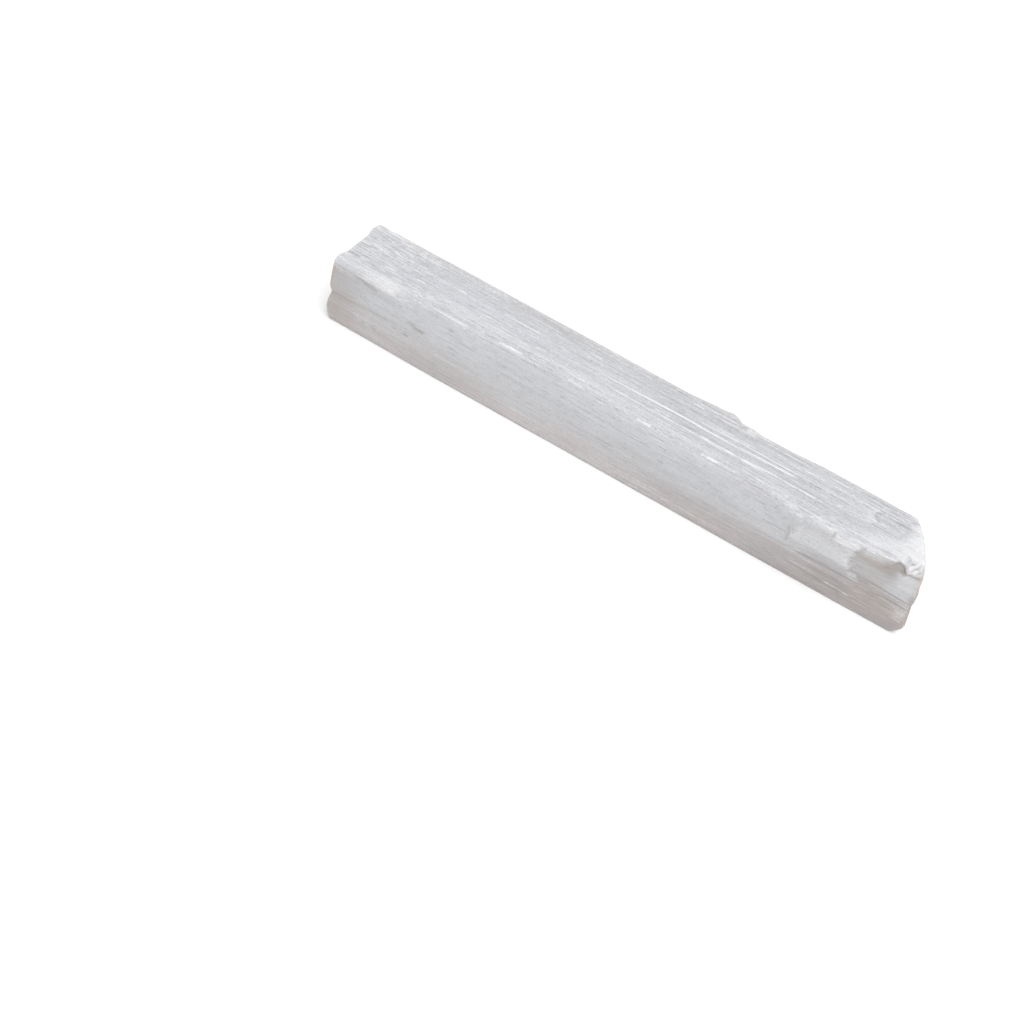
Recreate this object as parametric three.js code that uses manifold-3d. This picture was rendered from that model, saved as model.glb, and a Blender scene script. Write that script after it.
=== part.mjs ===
// A raw selenite wand: one cleaved length of fibrous gypsum, lying on its flat underside.
//
// Millimetres. +X runs along the fibres, -Y is the bowed front face and +Z is up. The origin is
// under the middle of the wand. The stone grew as one piece, so it is one solid: a cleaved bar with
// worn ends, from which the breaks are cut and to which one raised splinter is joined.

import * as THREE from 'three';
import { mergeVertices } from 'three/addons/utils/BufferGeometryUtils.js';
import Module from 'manifold-3d';

// Driving dimensions.
const LENGTH = 152;
const WIDTH = 17;
const HEIGHT = 19.3;

// The cross-section, as cleaved.
const HALF_LENGTH = LENGTH / 2;
const HALF_WIDTH = WIDTH / 2;
const UNDER_EDGE = 1.4; // how far the two lower edges are worn back
const BACK_EDGE = 0.5; // the sharp edge between the top and the back
const BACK_LEDGE_HEIGHT = 7.2; // a cleavage ledge runs along the back at this height
const BACK_LEDGE_DEPTH = 0.35;
const SHOULDER_WIDTH = 3.2; // the worn shoulder between the top and the front
const SHOULDER_DROP = 5.2;
const FRONT_BOW = 0.5; // how far the front stands out at mid-height
const CURVE_SEGMENTS = 5;

// The length, as grown and cut.
const STATIONS = 44; // steps from section to section along the bar
const END_WEAR = 1.1; // rounding of the edges of both cut ends
const END_WEAR_STATIONS = 3;
const BELLY = 0.5; // how much narrower the front is at the ends than at mid-length
const RIGHT_RISE_SLANT = 0.22; // the right end leans back by this much for each mm of height
const RIGHT_FOOT_HEIGHT = 4; // the height below which the right end is upright
const RIGHT_BACK_SWEEP = 5.6; // how far its back corner is worn away along the length
const LEFT_SETBACK = 1.7; // how far the left end falls back behind its front edge
const LEFT_SHOULDER_FROM = -8; // the front edge of the left end stands out between these two Y
const LEFT_SHOULDER_TO = -4.5;

// The breaks and the splinter.
const SLAB_END = 58; // the front slab is broken off from here to the right end
const SLAB_DEPTH = 1.1; // and this much of the front is gone
const SLAB_FOOT = 4.2; // above this height
const GROOVE_TOP = 11.2; // the hollow under the slab's lower boundary
const GROOVE_FOOT = 8.6;
const GROOVE_START = 43;
const GROOVE_DEPTH = 0.7;
const BITE_START = 66; // a bite out of the edge above the broken front
const BITE_LENGTH = 3.2;
const BITE_DEPTH = 2.4;
const BITE_DROP = 1.6;
const NOTCH_HEIGHT = 9.6; // a groove runs from the left end into the front at this height
const NOTCH_LENGTH = 20;
const NOTCH_HALF_OPENING = 0.9;
const NOTCH_DEPTH = 0.7;
const SPLINTER_START = 9.4; // the raised splinter on the back edge
const SPLINTER_PEAK = 20.8;
const SPLINTER_END = 22.5;
const SPLINTER_RISE = 1.1;
const SPLINTER_THICKNESS = 0.9;
const SCAR_END = 44; // the edge behind the splinter is chipped from its end to here
const SCAR_DEPTH = 0.9;
const SCAR_DROP = 2.5;
const CUT_MARGIN = 2; // how far a cutter stands clear of the face it cuts

const SELENITE_COLOUR = 0xcfd2d5;
const SELENITE_ROUGHNESS = 0.45;

const wasm = await Module();
wasm.setup();

// The world's axes, as the directions that an extrusion's own X, Y and Z take.
const AXIS_X = new THREE.Vector3(1, 0, 0);
const AXIS_Y = new THREE.Vector3(0, 1, 0);
const AXIS_Z = new THREE.Vector3(0, 0, 1);
const SECTION_ALONG_X = new THREE.Matrix4().makeBasis(AXIS_Y, AXIS_Z, AXIS_X);
const ELEVATION_ALONG_Y = new THREE.Matrix4().makeBasis(AXIS_X, AXIS_Z, AXIS_Y.clone().negate());

function smoothRise(from, to, value) {
  return THREE.MathUtils.smoothstep(value, from, to);
}

function outline(points) {
  return new THREE.Shape(points.map(([across, up]) => new THREE.Vector2(across, up)));
}

// ---- booleans -----------------------------------------------------------------------------

function toSolid(geometry) {
  const bare = geometry.clone();
  bare.deleteAttribute('normal');
  bare.deleteAttribute('uv');
  const merged = mergeVertices(bare, 1e-4);
  const mesh = new wasm.Mesh({
    numProp: 3,
    vertProperties: new Float32Array(merged.attributes.position.array),
    triVerts: new Uint32Array(merged.index.array),
  });
  return new wasm.Manifold(mesh);
}

function toGeometry(solid) {
  const mesh = solid.getMesh();
  const geometry = new THREE.BufferGeometry();
  geometry.setAttribute('position', new THREE.BufferAttribute(mesh.vertProperties, 3));
  geometry.setIndex(new THREE.BufferAttribute(mesh.triVerts, 1));
  geometry.computeVertexNormals();
  return geometry;
}

// ---- the bar ------------------------------------------------------------------------------

// Seen from the right end, with Y across and Z up. The bowed front's control point is where the curve
// just touches the full width.
function barSection() {
  const front = -HALF_WIDTH;
  const back = HALF_WIDTH;
  const upperBack = back - BACK_LEDGE_DEPTH;
  const bowControl = front - FRONT_BOW * Math.SQRT1_2;
  const section = new THREE.Shape();
  section.moveTo(front + FRONT_BOW + UNDER_EDGE, 0);
  section.lineTo(back - UNDER_EDGE, 0);
  section.quadraticCurveTo(back, 0, back, UNDER_EDGE);
  section.lineTo(back, BACK_LEDGE_HEIGHT);
  section.lineTo(upperBack, BACK_LEDGE_HEIGHT + BACK_LEDGE_DEPTH);
  section.lineTo(upperBack, HEIGHT - BACK_EDGE);
  section.lineTo(upperBack - BACK_EDGE, HEIGHT);
  section.lineTo(front + SHOULDER_WIDTH, HEIGHT);
  section.quadraticCurveTo(front + FRONT_BOW, HEIGHT, front + FRONT_BOW / 2, HEIGHT - SHOULDER_DROP);
  section.quadraticCurveTo(bowControl, HEIGHT / 2, front + FRONT_BOW, UNDER_EDGE);
  section.quadraticCurveTo(front + FRONT_BOW, 0, front + FRONT_BOW + UNDER_EDGE, 0);
  return section;
}

// Where each end stops along X, for a fibre at this place in the section.
function rightReach(y, z) {
  const across = (y + HALF_WIDTH) / WIDTH;
  const lean = RIGHT_RISE_SLANT * Math.max(0, z - RIGHT_FOOT_HEIGHT);
  return HALF_LENGTH - lean - RIGHT_BACK_SWEEP * across * across;
}

function leftReach(y) {
  return HALF_LENGTH - LEFT_SETBACK * smoothRise(LEFT_SHOULDER_FROM, LEFT_SHOULDER_TO, y);
}

// The worn edge of a cut end, for a section this many stations in from that end: how far the section
// lies from the end's plane, and by how much it is smaller than the bar.
function wornEdge(stationsIn) {
  const turn = (Math.min(stationsIn / END_WEAR_STATIONS, 1) * Math.PI) / 2;
  return {
    setback: END_WEAR * (1 - Math.cos(turn)),
    inset: END_WEAR * (1 - Math.sin(turn)),
  };
}

// The plain stretch between the two worn edges has evenly spaced stations.
function distanceIn(stationsIn) {
  const plainStations = STATIONS / 2 - END_WEAR_STATIONS;
  const plainShare = Math.max(0, stationsIn - END_WEAR_STATIONS) / plainStations;
  return wornEdge(stationsIn).setback + plainShare * (HALF_LENGTH - END_WEAR);
}

function barGeometry() {
  const geometry = new THREE.ExtrudeGeometry(barSection(), {
    depth: STATIONS,
    steps: STATIONS,
    curveSegments: CURVE_SEGMENTS,
    bevelEnabled: false,
  });
  geometry.applyMatrix4(SECTION_ALONG_X);

  const place = geometry.attributes.position;
  for (let i = 0; i < place.count; i += 1) {
    const station = Math.round(place.getX(i));
    const y = place.getY(i);
    const z = place.getZ(i);
    const onRight = station > STATIONS / 2;
    const stationsIn = onRight ? STATIONS - station : station;
    const share = 1 - distanceIn(stationsIn) / HALF_LENGTH;
    const frontShare = (HALF_WIDTH - y) / WIDTH;
    const { inset } = wornEdge(stationsIn);
    place.setX(i, share * (onRight ? rightReach(y, z) : -leftReach(y)));
    place.setY(i, y * (1 - inset / HALF_WIDTH) + BELLY * frontShare * share * share);
    place.setZ(i, z + inset * (1 - (2 * z) / HEIGHT));
  }
  return geometry;
}

// ---- the breaks ---------------------------------------------------------------------------

// A cutter with this outline in X and Z that takes the front away as far back as y = depth.
function frontCutter(points, depth) {
  const reach = depth + HALF_WIDTH + CUT_MARGIN;
  const geometry = new THREE.ExtrudeGeometry(outline(points), { depth: reach, bevelEnabled: false });
  geometry.applyMatrix4(ELEVATION_ALONG_Y);
  geometry.translate(0, depth, 0);
  return geometry;
}

function brokenSlab() {
  const beyondEnd = HALF_LENGTH + CUT_MARGIN;
  const aboveTop = HEIGHT + CUT_MARGIN;
  const points = [
    [SLAB_END + 1, aboveTop],
    [SLAB_END + 1, HEIGHT - 0.4],
    [SLAB_END - 0.8, 17],
    [SLAB_END - 1, 14.5],
    [SLAB_END + 0.4, 12.3],
    [SLAB_END + 2, GROOVE_FOOT],
    [SLAB_END + 6, SLAB_FOOT + 1.2],
    [beyondEnd, SLAB_FOOT],
    [beyondEnd, aboveTop],
  ];
  return frontCutter(points, SLAB_DEPTH - HALF_WIDTH);
}

function slabGroove() {
  const points = [
    [GROOVE_START, GROOVE_TOP - 1.2],
    [SLAB_END + 2.5, GROOVE_FOOT],
    [SLAB_END + 2.5, GROOVE_TOP],
    [GROOVE_START + 5, GROOVE_TOP],
  ];
  return frontCutter(points, GROOVE_DEPTH - HALF_WIDTH);
}

function edgeBite() {
  const low = HEIGHT - BITE_DROP;
  const points = [
    [BITE_START, HEIGHT - 0.5],
    [BITE_START + 0.6, low],
    [BITE_START + BITE_LENGTH, low + 0.2],
    [BITE_START + BITE_LENGTH - 0.7, HEIGHT + CUT_MARGIN],
    [BITE_START + 1, HEIGHT + CUT_MARGIN],
  ];
  return frontCutter(points, BITE_DEPTH - HALF_WIDTH);
}

function leftNotch() {
  const beyondEnd = -HALF_LENGTH - CUT_MARGIN;
  const points = [
    [beyondEnd, NOTCH_HEIGHT - NOTCH_HALF_OPENING],
    [NOTCH_LENGTH - HALF_LENGTH, NOTCH_HEIGHT],
    [beyondEnd, NOTCH_HEIGHT + NOTCH_HALF_OPENING],
  ];
  return frontCutter(points, NOTCH_DEPTH - HALF_WIDTH);
}

// The chipped edge behind the splinter, cut by an outline in X and Y that is extruded upwards.
function edgeScar() {
  const edge = HALF_WIDTH - BACK_LEDGE_DEPTH;
  const clear = HALF_WIDTH + CUT_MARGIN;
  const points = [
    [SPLINTER_END, clear],
    [SPLINTER_END, edge - 0.3],
    [SPLINTER_END + 4.5, edge - 0.4],
    [SPLINTER_END + 4.8, edge - SCAR_DEPTH],
    [SPLINTER_END + 14, edge - SCAR_DEPTH],
    [SCAR_END, edge],
    [SCAR_END, clear],
  ];
  const height = SCAR_DROP + CUT_MARGIN;
  const geometry = new THREE.ExtrudeGeometry(outline(points), { depth: height, bevelEnabled: false });
  geometry.translate(0, 0, HEIGHT - SCAR_DROP);
  return geometry;
}

function splinter() {
  const root = HEIGHT - CUT_MARGIN;
  const edge = HALF_WIDTH - BACK_LEDGE_DEPTH;
  const points = [
    [SPLINTER_START, root],
    [SPLINTER_END, root],
    [SPLINTER_END, HEIGHT - 0.1],
    [SPLINTER_PEAK + 0.4, HEIGHT + SPLINTER_RISE - 0.1],
    [SPLINTER_PEAK, HEIGHT + SPLINTER_RISE],
    [SPLINTER_START, HEIGHT - 0.1],
  ];
  const geometry = new THREE.ExtrudeGeometry(outline(points), {
    depth: SPLINTER_THICKNESS,
    bevelEnabled: false,
  });
  geometry.applyMatrix4(ELEVATION_ALONG_Y);
  geometry.translate(0, edge - 0.02, 0);
  return geometry;
}

// ---- the wand -----------------------------------------------------------------------------

function wandGeometry() {
  let solid = toSolid(barGeometry());
  for (const cutter of [brokenSlab(), slabGroove(), edgeBite(), leftNotch(), edgeScar()]) {
    solid = solid.subtract(toSolid(cutter));
  }
  const geometry = toGeometry(solid.add(toSolid(splinter())));

  // The origin goes under the middle of the finished stone.
  geometry.computeBoundingBox();
  const middle = geometry.boundingBox.getCenter(new THREE.Vector3());
  geometry.translate(-middle.x, -middle.y, -geometry.boundingBox.min.z);
  return geometry;
}

const selenite = new THREE.MeshStandardMaterial({
  color: SELENITE_COLOUR,
  roughness: SELENITE_ROUGHNESS,
  metalness: 0,
});

const wand = new THREE.Mesh(wandGeometry(), selenite);
wand.name = 'wand';

const part = new THREE.Group();
part.add(wand);

export default part;
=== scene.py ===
"""A raw selenite wand lying on a pale floor: its stone, its light and its camera.

The wand is a bar of fibrous gypsum. A cube is cut into strips, fine across the fibres and coarse
along them, worn into the bar's outline, broken where the stone is broken, and then given its fibres.
Shapes are worked out in millimetres and placed in metres. +X runs along the fibres, -Y is the bowed
front and +Z is up.
"""

import itertools
import math
from types import SimpleNamespace

import bpy
import numpy as np
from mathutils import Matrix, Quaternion, Vector


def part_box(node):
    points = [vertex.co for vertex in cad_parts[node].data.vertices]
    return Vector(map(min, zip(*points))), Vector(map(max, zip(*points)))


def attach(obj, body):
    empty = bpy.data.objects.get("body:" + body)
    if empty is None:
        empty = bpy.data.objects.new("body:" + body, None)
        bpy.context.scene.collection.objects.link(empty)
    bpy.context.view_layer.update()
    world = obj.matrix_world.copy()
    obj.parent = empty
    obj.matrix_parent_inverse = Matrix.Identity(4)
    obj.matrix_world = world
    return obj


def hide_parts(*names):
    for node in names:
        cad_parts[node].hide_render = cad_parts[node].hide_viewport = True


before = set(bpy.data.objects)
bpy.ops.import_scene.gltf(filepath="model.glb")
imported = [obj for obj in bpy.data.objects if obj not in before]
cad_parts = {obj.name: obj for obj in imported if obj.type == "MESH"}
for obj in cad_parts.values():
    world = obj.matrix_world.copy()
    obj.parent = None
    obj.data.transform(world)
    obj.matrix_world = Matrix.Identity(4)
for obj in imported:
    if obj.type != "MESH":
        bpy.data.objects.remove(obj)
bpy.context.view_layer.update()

MM = 0.001
TINY = 1e-6

# ---- the bar, from the frame ----
LOW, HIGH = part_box("wand")
HALF_LENGTH = (HIGH.x - LOW.x) / 2 / MM
HALF_WIDTH = (HIGH.y - LOW.y) / 2 / MM
SPLINTER_RISE = 1.0  # the splinter stands this far above the top
TOP = HIGH.z / MM - SPLINTER_RISE
MIDDLE = TOP / 2
SKIN = 0.05  # the bar is this much smaller than the frame, which leaves room for its fibres

# How many strips the cube is cut into. Along the bar it is cut into lengths first, and then each length.
ACROSS = (76,)
UPWARD = (84,)
ALONG = (4, 67)

# How far each long edge is worn back, across and up. Near both ends the front's top edge is crisp.
SHOULDER_WEAR = (5.0, 8.0)
CRISP_WEAR = (1.3, 1.6)
BACK_WEAR = (0.4, 0.4)
UNDER_WEAR = (0.35, 0.35)
END_WEAR = 0.6
FRONT_BOW = 0.5

# A cut into a face is full within SURFACE of it, and has faded out this far below it.
SURFACE = 1
FRONT_EASE = 8
TOP_EASE = 7
BACK_EASE = 6
EDGE_BLEND = 0.25  # how softly one face's marks give way to the next face's

# What the stone is marked with: chalky white, silvery streaks, brown stain and painted shade, clear stone
# and painted shade, how thickly white dashes lie, and how strongly the long fibres show.
LAYERS = ("frost", "gleam", "stain_and_shade", "clear", "bruise", "combed")

# ---- small tools ----

# Large odd numbers that turn a cell of the noise into a number with no order to it.
CELL_MIX = (73856093, 19349663, 83492791)
SEED_MIX = 2654435761
KEY_MIX = ((15, 2246822519), (13, 3266489917))
LARGEST_KEY = 0xFFFFFFFF
NOISE_START = 137.3  # keeps every cell of the noise above 0


def rise(value, start, end):
    """0 before start, 1 after end, and a smooth climb between them."""
    share = np.clip((value - start) / (end - start), 0, 1)
    return share * share * (3 - 2 * share)


def fall(value, start, end):
    """1 before start, 0 after end, and a smooth drop between them."""
    return 1 - rise(value, start, end)


def between(value, start, end, soft):
    """1 from start to end, fading out over soft on both sides."""
    return rise(value, start - soft, start) * fall(value, end, end + soft)


def hump(distance, width):
    """1 where the distance is 0, fading away over about twice the width on both sides."""
    return np.exp(-((distance / width) ** 2))


def lattice(cell, seed):
    """A fixed number from 0 to 1 for each whole-numbered cell."""
    key = sum(cell[:, i] * CELL_MIX[i] for i in range(3)) + seed * SEED_MIX
    for shift, factor in KEY_MIX:
        key = (key ^ (key >> shift)) * factor & LARGEST_KEY
    return (key ^ (key >> 16)) / LARGEST_KEY


def grain(points, along, across, seed, octaves=1):
    """Smooth noise from 0 to 1 whose blobs are this many mm long and wide, drawn out along the fibres."""
    total = np.zeros(len(points))
    weights = 0.0
    for octave in range(octaves):
        fine = 2.0**octave
        scaled = points / np.array([along, across, across]) * fine + NOISE_START
        cell = np.floor(scaled).astype(np.int64)
        inside = scaled - cell
        inside = inside * inside * (3 - 2 * inside)
        value = np.zeros(len(points))
        for corner in itertools.product((0, 1), repeat=3):
            weight = np.prod(np.where(corner, inside, 1 - inside), axis=1)
            value += weight * lattice(cell + corner, seed + octave)
        total += value / fine
        weights += 1 / fine
    return total / weights


def stray(places, length, seed):
    """How far a line strays to either side, from -0.5 to 0.5, with bends this many mm long."""
    return grain(np.column_stack([places, 0 * places, 0 * places]), length, 1, seed) - 0.5


def worn(distance, wear):
    """Wears a sharp edge round: the new distance from it, and how far the surface sinks there."""
    turn = math.pi / 4 * np.clip(1 - distance / wear, 0, 1)
    return np.where(distance < wear, wear * (1 - np.sin(turn)), distance), wear * (1 - np.cos(turn))


# ---- the blank ----


def read(mesh, what="co"):
    """The places or normals of a mesh's vertices, as rows of three numbers."""
    found = np.empty(len(mesh.vertices) * 3)
    mesh.vertices.foreach_get(what, found)
    return found.reshape(-1, 3)


def cut_strips(mesh, axis, counts):
    """Cuts the cube in edit mode into strips along an axis, by subdividing the edges that run that way."""
    for count in counts:
        bpy.ops.mesh.select_all(action="DESELECT")
        bpy.ops.object.mode_set(mode="OBJECT")
        spots = read(mesh)
        ends = np.empty(len(mesh.edges) * 2, dtype=np.int32)
        mesh.edges.foreach_get("vertices", ends)
        first, last = ends.reshape(-1, 2).T
        run = np.abs(spots[first] - spots[last])
        mesh.edges.foreach_set("select", run[:, axis] > TINY)
        bpy.ops.object.mode_set(mode="EDIT")
        bpy.ops.mesh.subdivide(number_cuts=count - 1)


def blank():
    """A cube from -1 to 1 each way, cut into strips."""
    bpy.ops.object.select_all(action="DESELECT")
    bpy.ops.mesh.primitive_cube_add(size=2)
    bar = bpy.context.object
    bar.name = "selenite_wand"
    bpy.ops.object.mode_set(mode="EDIT")
    bpy.ops.mesh.select_mode(type="EDGE")
    for axis, counts in ((1, ACROSS), (2, UPWARD), (0, ALONG)):
        cut_strips(bar.data, axis, counts)
    bpy.ops.object.mode_set(mode="OBJECT")
    return bar


# ---- the bar's outline ----

# Where the strips lie closer together, for the broken stone: start, end, how softly, and how much closer.
CROWDED = (
    (-80, -73, 4, 1.2),
    (19, 28, 3, 0.8),
    (42, 80, 3, 1.2),
)


def stations(share):
    """Where a strip lies along the bar, from -1 to 1, so that the strips crowd where the stone is broken."""
    x = np.linspace(-1, 1, 2001)
    crowding = 1.0
    for start, end, soft, closer in CROWDED:
        crowding = crowding + closer * between(x * HALF_LENGTH, start, end, soft)
    reached = np.concatenate([[0], np.cumsum((crowding[1:] + crowding[:-1]) / 2)])
    return np.interp((share + 1) / 2 * reached[-1], reached, x)


def section(v, w, x):
    """The bar's cross-section: y and z for a point on the outline of the square from -1 to 1."""
    half_width = HALF_WIDTH - SKIN
    from_front = (v + 1) * half_width
    from_back = (1 - v) * half_width
    from_top = (1 - w) / 2 * (TOP - SKIN)
    from_under = (1 + w) / 2 * (TOP - SKIN)
    crisp = np.maximum(fall(x, -66, -50), rise(x, 34, 51))
    shoulder = [soft * (1 - crisp) + hard * crisp for soft, hard in zip(SHOULDER_WEAR, CRISP_WEAR)]
    corners = (
        (from_front, from_top, shoulder),
        (from_back, from_top, BACK_WEAR),
        (from_front, from_under, UNDER_WEAR),
        (from_back, from_under, UNDER_WEAR),
    )
    y = -half_width + from_front
    z = from_under.copy()
    for side, level, (side_wear, level_wear) in corners:
        # p and q are the distances from the corner's two faces, as shares of how far it is worn.
        p = side / side_wear
        q = level / level_wear
        near = np.maximum(p, q) < 1
        on_level = q <= p
        new, sink = worn(np.maximum(p, q), 1.0)
        new_p = np.where(on_level, new, sink)
        new_q = np.where(on_level, sink, new)
        y_sign = 1 if side is from_front else -1
        z_sign = 1 if level is from_under else -1
        y = np.where(near, y + y_sign * (new_p - p) * side_wear, y)
        z = np.where(near, z + z_sign * (new_q - q) * level_wear, z)
    # The front curves back above mid-height, hardly at all below it, and a little towards the ends.
    frontness = rise((half_width - y) / (2 * half_width), 0.6, 1.0)
    height = z / TOP
    bow = FRONT_BOW * (1 - 4 * height * (1 - height)) * np.where(height > 0.5, 1 - crisp, 0.1)
    drawn_in = 0.3 * rise(-x, 45, 76) + 0.15 * rise(x, 50, 76)
    return y + frontness * (bow + drawn_in), z


def right_reach(y, z):
    """How far the right end stands out: it slants back as it rises, in two steps, and sweeps away behind."""
    across = (y + HALF_WIDTH) / (2 * HALF_WIDTH)
    slant = np.interp(z, (4, 9.5, 10.6, 13, 16, 19.4), (0, 1.3, 1.25, 1.6, 2.5, 3.0))
    sweep = 6.1 * across**2
    turned_under = 1.3 * fall(z, -0.5, 2.6)
    return HALF_LENGTH - slant - sweep - turned_under


def left_reach(y, z):
    """How far the left end stands out: it falls back behind its front edge, which is hollow at mid-height."""
    set_back = np.interp(y, (-8.5, -6.3, -4.2, 3, 5.8, 8.5), (-0.2, -0.1, 0.9, 2.0, 1.6, 2.1))
    heights = (0, 1.5, 3.5, 5.5, 6.5, 8, 9.2, 10.5, 13, 17, 19)
    hollows = (0.9, 0.3, 0, 0.1, 0.3, 0.65, 0.5, 0.15, 0, 0.2, 0.4)
    return HALF_LENGTH - set_back - np.interp(z, heights, hollows) * fall(y, -7, 1)


def worn_rims(share, rim, y, z, on_end):
    """Both ends' rims are worn round: how far each point lies back from its end, and how it is drawn in."""
    half_size = (HALF_WIDTH + MIDDLE) / 2
    wear = END_WEAR * (0.7 + 0.8 * grain(np.column_stack([0 * y, y, z]), 9, 3.5, 5))
    wear = wear + 0.5 * fall(z, 1, 4)
    rim_distance, end_sink = worn((1 - rim) * half_size, wear)
    end_distance, side_sink = worn((1 - np.abs(share)) * HALF_LENGTH, wear)
    back = np.where(on_end, end_sink, end_distance)
    drawn_in = np.where(on_end, (1 - rim_distance / half_size) / rim, 1 - side_sink / half_size)
    return back, drawn_in


def bar_outline(cube, on_end):
    """Moves the cube's points to the worn bar's surface."""
    u, v, w = cube.T
    rim = np.maximum(np.maximum(np.abs(v), np.abs(w)), TINY)
    share = stations(u)
    y, z = section(v / rim, w / rim, share * HALF_LENGTH)
    y = y * rim
    z = MIDDLE + (z - MIDDLE) * rim
    back, drawn_in = worn_rims(share, rim, y, z, on_end)
    y = y * drawn_in
    z = MIDDLE + (z - MIDDLE) * drawn_in
    reach = np.where(share > 0, right_reach(y, z), left_reach(y, z)) - SKIN
    x = np.sign(share) * (1 - back / HALF_LENGTH) * reach
    return np.column_stack([x, y, z])


# ---- working the stone ----


class Stone:
    """The bar's surface while it is worked: where its points are, and how strongly each is marked.

    A place is always where a point lay at the start, so the cuts can be made in any order. Only a scrape
    has to come after the white that it takes off.
    """

    def __init__(self, points, on_end):
        self.points = points
        self.start = points.copy()
        self.sides = 1.0 - on_end  # 1 on the four long faces, 0 on the cut ends
        for layer in LAYERS:
            setattr(self, layer, np.zeros(len(points)))

    def grain(self, along, across, seed, octaves=1):
        """Noise from 0 to 1 on the stone, in blobs this many mm long and wide."""
        return grain(self.start, along, across, seed, octaves)

    def sink_front(self, depth):
        """Pushes the front in, and eases what lies behind it, so that nothing folds over."""
        self.points[:, 1] += depth * fall(self.start[:, 1], -HALF_WIDTH + SURFACE, -HALF_WIDTH + FRONT_EASE)

    def sink_top(self, depth):
        """Lowers the top, and the stone under it by less and less."""
        self.points[:, 2] -= depth * rise(self.start[:, 2], TOP - TOP_EASE, TOP - SURFACE)

    def sink_back(self, depth):
        """Pushes the back in."""
        self.points[:, 1] -= depth * rise(self.start[:, 1], HALF_WIDTH - BACK_EASE, HALF_WIDTH - SURFACE)

    def facing(self, side):
        """1 where the front, top, back or underside is the nearest face of the bar, and 0 elsewhere."""
        _, y, z = self.start.T
        depths = {"front": y + HALF_WIDTH, "back": HALF_WIDTH - y, "top": TOP - z, "under": z}
        nearest_other = np.minimum.reduce([depth for name, depth in depths.items() if name != side])
        return self.sides * rise(nearest_other - depths[side], -EDGE_BLEND, EDGE_BLEND)

    def whiten(self, amount):
        self.frost = np.maximum(self.frost, amount)

    def scrape(self, share):
        """Takes this share of the white off again."""
        self.frost = self.frost * (1 - share)

    # Stains and cracks are darkened here, and so is painted shade.
    def darken(self, amount):
        self.stain_and_shade = np.maximum(self.stain_and_shade, amount)

    # Clearer stone is marked here, and so is painted shade, which takes the same darker colour.
    def add_clear_and_shade(self, amount):
        self.clear = np.maximum(self.clear, amount)

    def brighten(self, amount):
        self.gleam = np.maximum(self.gleam, amount)

    def comb(self, amount):
        self.combed = np.maximum(self.combed, amount)


def past_break(stone):
    """How far each point lies to the right of the ragged edge where the thin slab broke off."""
    x, _, z = stone.start.T
    ragged = 0.6 * (stone.grain(30, 1.6, 21) - 0.5) + 0.5 * (stone.grain(20, 0.6, 22) - 0.5)
    heights = (4, 8.7, 9.4, 12.3, 14.5, 17, 18, 19.2)
    places = (61, 60.2, 60.2, 58.6, 57.5, 57.4, 57.9, 58.6)
    return x - np.interp(z, heights, places) - ragged


def broken_off(stone):
    """1 where the thin slab has come off: a sharp edge high up, and a long slope low down."""
    return rise(past_break(stone), -0.9, 0.7 + 6 * fall(stone.start[:, 2], 8, 10.5))


def broken_slab(stone):
    """A thin slab has come off the front at the right end; the recess that it bared is darker, partly as
    clearer stone and partly as painted shade.
    """
    x, _, z = stone.start.T
    front = stone.facing("front")
    gone = broken_off(stone)
    high = rise(z, 14, 18.5)
    low_depth = 0.85 + 0.2 * rise(x, 60, 70)
    high_depth = 0.2 + 0.3 * rise(x, 59, 62)
    stone.sink_front(gone * rise(z, 4, 9.5) * (low_depth * (1 - high) + high_depth * high))
    # Painted shade in the recess, deepest low down and towards the left.
    shade = 0.25 * fall(x, 64.5, 69) + 0.5 * fall(z, 9.4, 10.6) + 0.4 * fall(z, 7.0, 9.0)
    stone.add_clear_and_shade(front * shade * rise(past_break(stone), 0.2, 1.8) * rise(z, 3, 8))
    stone.darken(front * 0.24 * fall(x, 69, 75) * rise(x, 62, 66) * between(z, 3, 8.5, 1.5))
    stone.whiten(front * 0.46 * between(x, 69.8, 73.2, 2) * between(z, 13.2, 17.4, 1.5))
    stone.comb(front * gone * (0.25 + 0.35 * fall(z, 11, 12.5)))


# Cleavage lines beyond the break: height, where each starts and ends, how far it steps in, how dark it is.
CLEAVAGES = (
    (10.1, 60.5, 77, 0.16, 0.60),
    (8.4, 65.6, 73, 0.12, 0.55),
    (13.4, 61.5, 77, 0.05, 0.18),
    (6.1, 66.0, 77, -0.08, 0.45),
    (2.9, 63.0, 77, 0.05, 0.28),
)


def cleavage_steps(stone):
    """Beyond the break the stone steps in at its cleavage lines, each with a pale line under the dark one."""
    x, _, z = stone.start.T
    front = stone.facing("front")
    gone = broken_off(stone)
    for level, start, end, drop, tone in CLEAVAGES:
        above = z - level - 0.06 * (68 - x) - 0.25 * (stone.grain(6, 3, 25) - 0.5)
        reach = rise(x, start, start + 3) * fall(x, end - 2, end) * gone
        stone.sink_front(drop * reach * fall(above, -0.15, 0.15) * rise(z, 3, 7))
        stone.darken(front * 0.9 * tone * reach * hump(above, 0.24))
        stone.whiten(front * 0.66 * tone * reach * hump(above + 0.75, 0.35))


def pale_lobe(stone):
    """Low down, a paler lobe narrows to a point as it runs in from the right end."""
    x, _, z = stone.start.T
    half_width = np.maximum(0.2 + 0.25 * (x - 65), 0.1)
    away = np.abs(z - 6.95 + 0.1 * (x - 65)) / half_width
    lobe = fall(away, 0.3, 1.5) * rise(x, 65, 67)
    streaked = 0.6 + 0.8 * stone.grain(14, 0.5, 27)
    stone.sink_front(-0.06 * lobe * broken_off(stone))
    stone.whiten(stone.facing("front") * 0.42 * lobe * rise(x, 67.5, 73.5) * fall(x, 74.2, 75.2) * streaked)


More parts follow.
